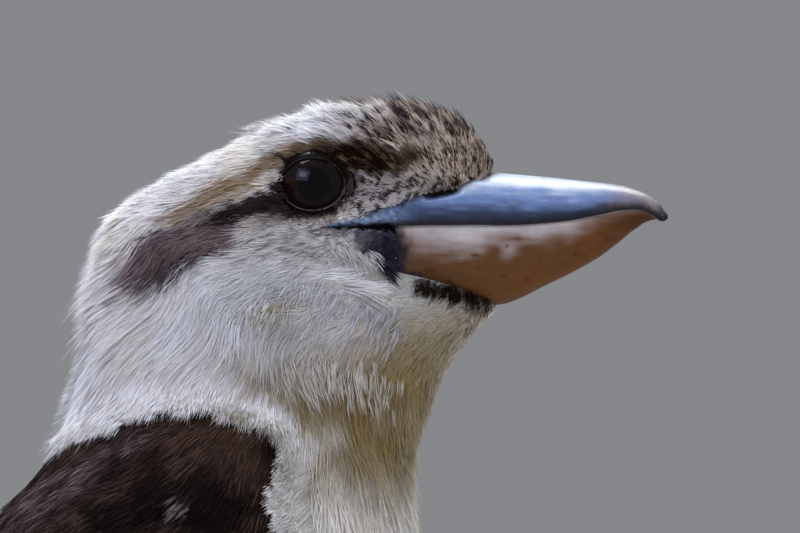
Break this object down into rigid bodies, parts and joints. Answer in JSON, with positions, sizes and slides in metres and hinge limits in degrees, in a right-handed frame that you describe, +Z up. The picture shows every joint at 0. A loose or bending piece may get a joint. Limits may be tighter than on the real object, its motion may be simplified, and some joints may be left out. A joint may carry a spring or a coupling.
{
  "type": "laughing kookaburra",
  "caption": "Life-size model of a laughing kookaburra standing at rest, bill closed, wings folded and tail low.",
  "frame": {"origin": "on the floor, under the middle of the whole bird's box", "axes": "+Z up, +X forward along the bill, +Y to the bird's left"},
  "size_m": [0.3418, 0.1054, 0.256],
  "materials": {
    "cream_plumage": "soft fine feathers, off-white",
    "brown_plumage": "dark brown contour and flight feathers",
    "barred_plumage": "rufous tail feathers with dark bars and white tips",
    "slate_horn": "smooth slate-blue horn",
    "pale_horn": "smooth pale horn with rusty stains",
    "dark_eye": "wet dark brown eye",
    "lid_skin": "bare dark lid skin",
    "leg_skin": "scaled olive-grey skin",
    "dark_claw": "dark horn"
  },
  "bodies": {
    "root": {"head": "cream_plumage", "neck": "cream_plumage", "torso": "brown_plumage", "tail": "barred_plumage", "upper_bill": "slate_horn", "lower_bill": "pale_horn", "eye_left": "dark_eye", "eye_right": "dark_eye", "eyelid_left": "lid_skin", "eyelid_right": "lid_skin", "wing_left": "brown_plumage", "wing_right": "brown_plumage", "thigh_left": "cream_plumage", "thigh_right": "cream_plumage", "tarsus_left": "leg_skin", "tarsus_right": "leg_skin", "foot_left": "leg_skin", "foot_right": "leg_skin", "claw_inner_left": "dark_claw", "claw_inner_right": "dark_claw", "claw_middle_left": "dark_claw", "claw_middle_right": "dark_claw", "claw_outer_left": "dark_claw", "claw_outer_right": "dark_claw", "claw_hind_left": "dark_claw", "claw_hind_right": "dark_claw"}
  },
  "joints": []
}
